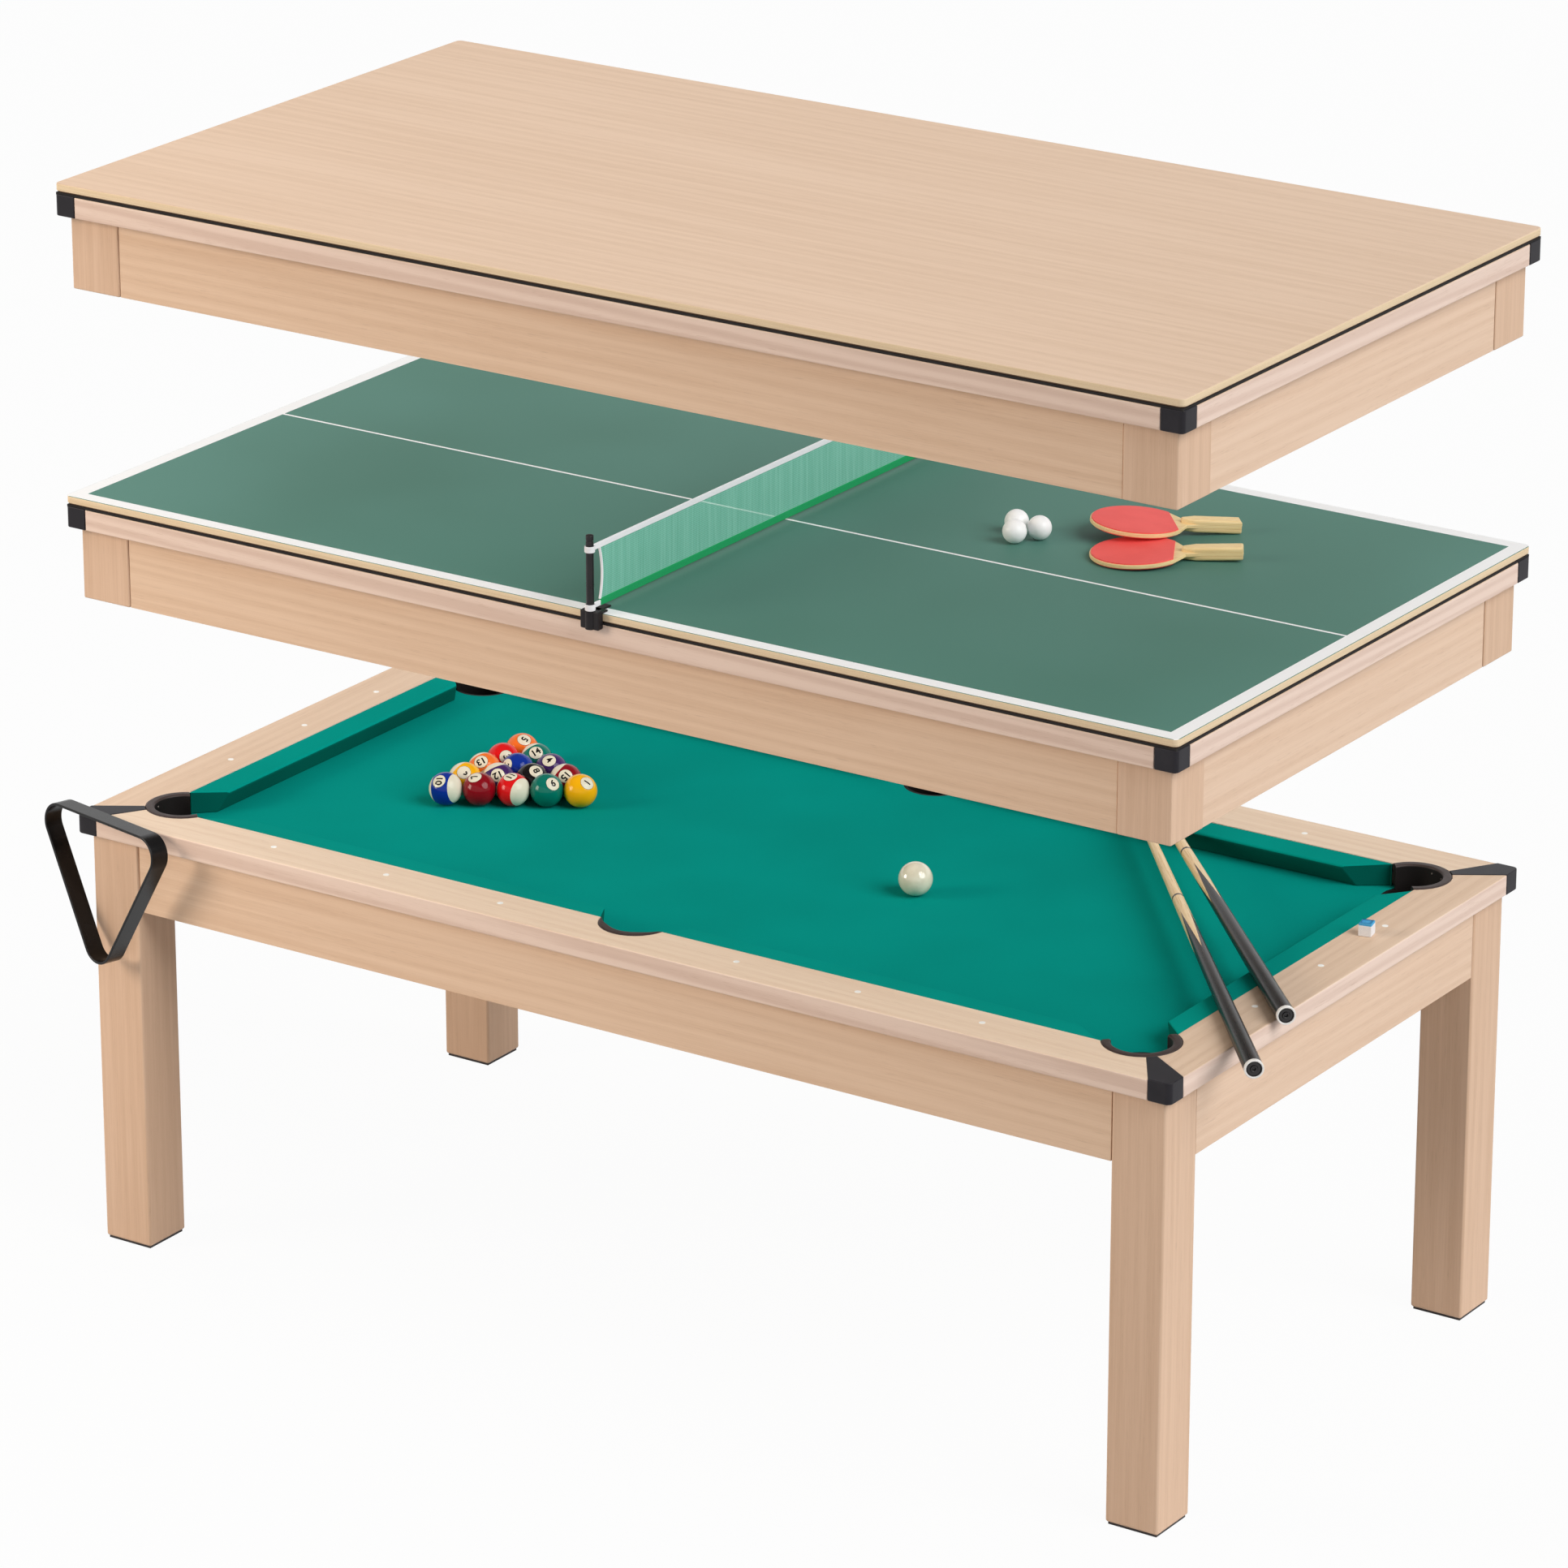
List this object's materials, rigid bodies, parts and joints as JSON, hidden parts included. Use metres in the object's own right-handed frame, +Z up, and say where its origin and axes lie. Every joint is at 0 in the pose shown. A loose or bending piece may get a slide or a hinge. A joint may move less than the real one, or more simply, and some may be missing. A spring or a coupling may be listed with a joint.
{
  "type": "multi game table",
  "caption": "Pool table with a tennis tier and a dining tier lifted above it, with balls, cues, net and bats.",
  "frame": {"origin": "on the floor under the middle of the table", "axes": "+X along the table's length, +Y across it away from the near long side, +Z up"},
  "size_m": [2.3077, 1.2213, 1.867],
  "materials": {
    "ash_wood": "satin pale ash laminate",
    "dining_laminate": "satin pale ash laminate",
    "tennis_laminate": "matt green paint with white lines",
    "foot_plastic": "matt",
    "cap_plastic": "satin moulded black",
    "pocket_leather": "dark leather-like",
    "green_cloth": "short-napped teal cloth",
    "clamp_plastic": "satin black",
    "net_fabric": "green mesh with white tape",
    "bat_face": "red rubber on pale wood",
    "white_plastic": "satin white",
    "cream_resin": "polished",
    "coloured_resin": "polished",
    "cue_wood": "lacquered",
    "rack_plastic": "glossy black",
    "chalk_cake": "powdery blue in white paper"
  },
  "bodies": {
    "table": {"leg_near_left": "ash_wood", "leg_near_right": "ash_wood", "leg_far_left": "ash_wood", "leg_far_right": "ash_wood", "apron_near": "ash_wood", "apron_far": "ash_wood", "apron_left": "ash_wood", "apron_right": "ash_wood", "rail_near": "ash_wood", "rail_far": "ash_wood", "rail_left": "ash_wood", "rail_right": "ash_wood", "beam_left": "ash_wood", "beam_right": "ash_wood", "foot_near_left": "foot_plastic", "foot_near_right": "foot_plastic", "foot_far_left": "foot_plastic", "foot_far_right": "foot_plastic", "corner_cap_near_left": "cap_plastic", "corner_cap_near_right": "cap_plastic", "corner_cap_far_left": "cap_plastic", "corner_cap_far_right": "cap_plastic", "pocket_near_left": "pocket_leather", "pocket_near_right": "pocket_leather", "pocket_far_left": "pocket_leather", "pocket_far_right": "pocket_leather", "pocket_near": "pocket_leather", "pocket_far": "pocket_leather", "cushion_near_left": "green_cloth", "cushion_near_right": "green_cloth", "cushion_far_left": "green_cloth", "cushion_far_right": "green_cloth", "cushion_left": "green_cloth", "cushion_right": "green_cloth", "playfield_left": "green_cloth", "playfield_middle": "green_cloth", "playfield_right": "green_cloth"},
    "tennis_tier": {"tennis_top": "tennis_laminate", "tennis_rails": "ash_wood", "tennis_aprons": "ash_wood", "net_clamp_near": "clamp_plastic", "net_clamp_far": "clamp_plastic", "net_post_near": "clamp_plastic", "net_post_far": "clamp_plastic"},
    "dining_tier": {"dining_top": "dining_laminate", "dining_rails": "ash_wood", "dining_aprons": "ash_wood"},
    "net": {"net": "net_fabric"},
    "bat_near": {"bat_near": "bat_face"},
    "bat_far": {"bat_far": "bat_face"},
    "tennis_ball_1": {"tennis_ball_1": "white_plastic"},
    "tennis_ball_2": {"tennis_ball_2": "white_plastic"},
    "tennis_ball_3": {"tennis_ball_3": "white_plastic"},
    "cue_1": {"cue_1": "cue_wood"},
    "cue_2": {"cue_2": "cue_wood"},
    "rack": {"rack": "rack_plastic"},
    "chalk": {"chalk": "chalk_cake"},
    "cue_ball": {"cue_ball": "cream_resin"},
    "racked_balls": {"racked_balls": "coloured_resin"}
  },
  "joints": [
    {"name": "tennis_tier_lift", "type": "slide", "parent": "table", "child": "tennis_tier", "axis": [0, 0, 1], "range_m": [-0.3, 0]},
    {"name": "dining_tier_lift", "type": "slide", "parent": "table", "child": "dining_tier", "axis": [0, 0, 1], "range_m": [-0.19, 0]},
    {"name": "net_lift", "type": "slide", "parent": "tennis_tier", "child": "net", "axis": [0, 0, 1], "range_m": [0, 0.045]},
    {"name": "bat_near_lift", "type": "slide", "parent": "tennis_tier", "child": "bat_near", "axis": [0, 0, 1], "range_m": [0, 0.03]},
    {"name": "bat_far_lift", "type": "slide", "parent": "bat_near", "child": "bat_far", "axis": [0, 0, 1], "range_m": [0, 0.03]},
    {"name": "tennis_ball_1_lift", "type": "slide", "parent": "tennis_tier", "child": "tennis_ball_1", "axis": [0, 0, 1], "range_m": [0, 0.03]},
    {"name": "tennis_ball_2_lift", "type": "slide", "parent": "tennis_tier", "child": "tennis_ball_2", "axis": [0, 0, 1], "range_m": [0, 0.03]},
    {"name": "tennis_ball_3_lift", "type": "slide", "parent": "tennis_tier", "child": "tennis_ball_3", "axis": [0, 0, 1], "range_m": [0, 0.03]},
    {"name": "cue_1_lift", "type": "slide", "parent": "table", "child": "cue_1", "axis": [0, 0, 1], "range_m": [0, 0.04]},
    {"name": "cue_2_lift", "type": "slide", "parent": "table", "child": "cue_2", "axis": [0, 0, 1], "range_m": [0, 0.04]},
    {"name": "rack_lift", "type": "slide", "parent": "table", "child": "rack", "axis": [0, 0, 1], "range_m": [0, 0.04]},
    {"name": "chalk_lift", "type": "slide", "parent": "table", "child": "chalk", "axis": [0, 0, 1], "range_m": [0, 0.04]},
    {"name": "cue_ball_lift", "type": "slide", "parent": "table", "child": "cue_ball", "axis": [0, 0, 1], "range_m": [0, 0.04]},
    {"name": "racked_balls_lift", "type": "slide", "parent": "table", "child": "racked_balls", "axis": [0, 0, 1], "range_m": [0, 0.04]}
  ]
}
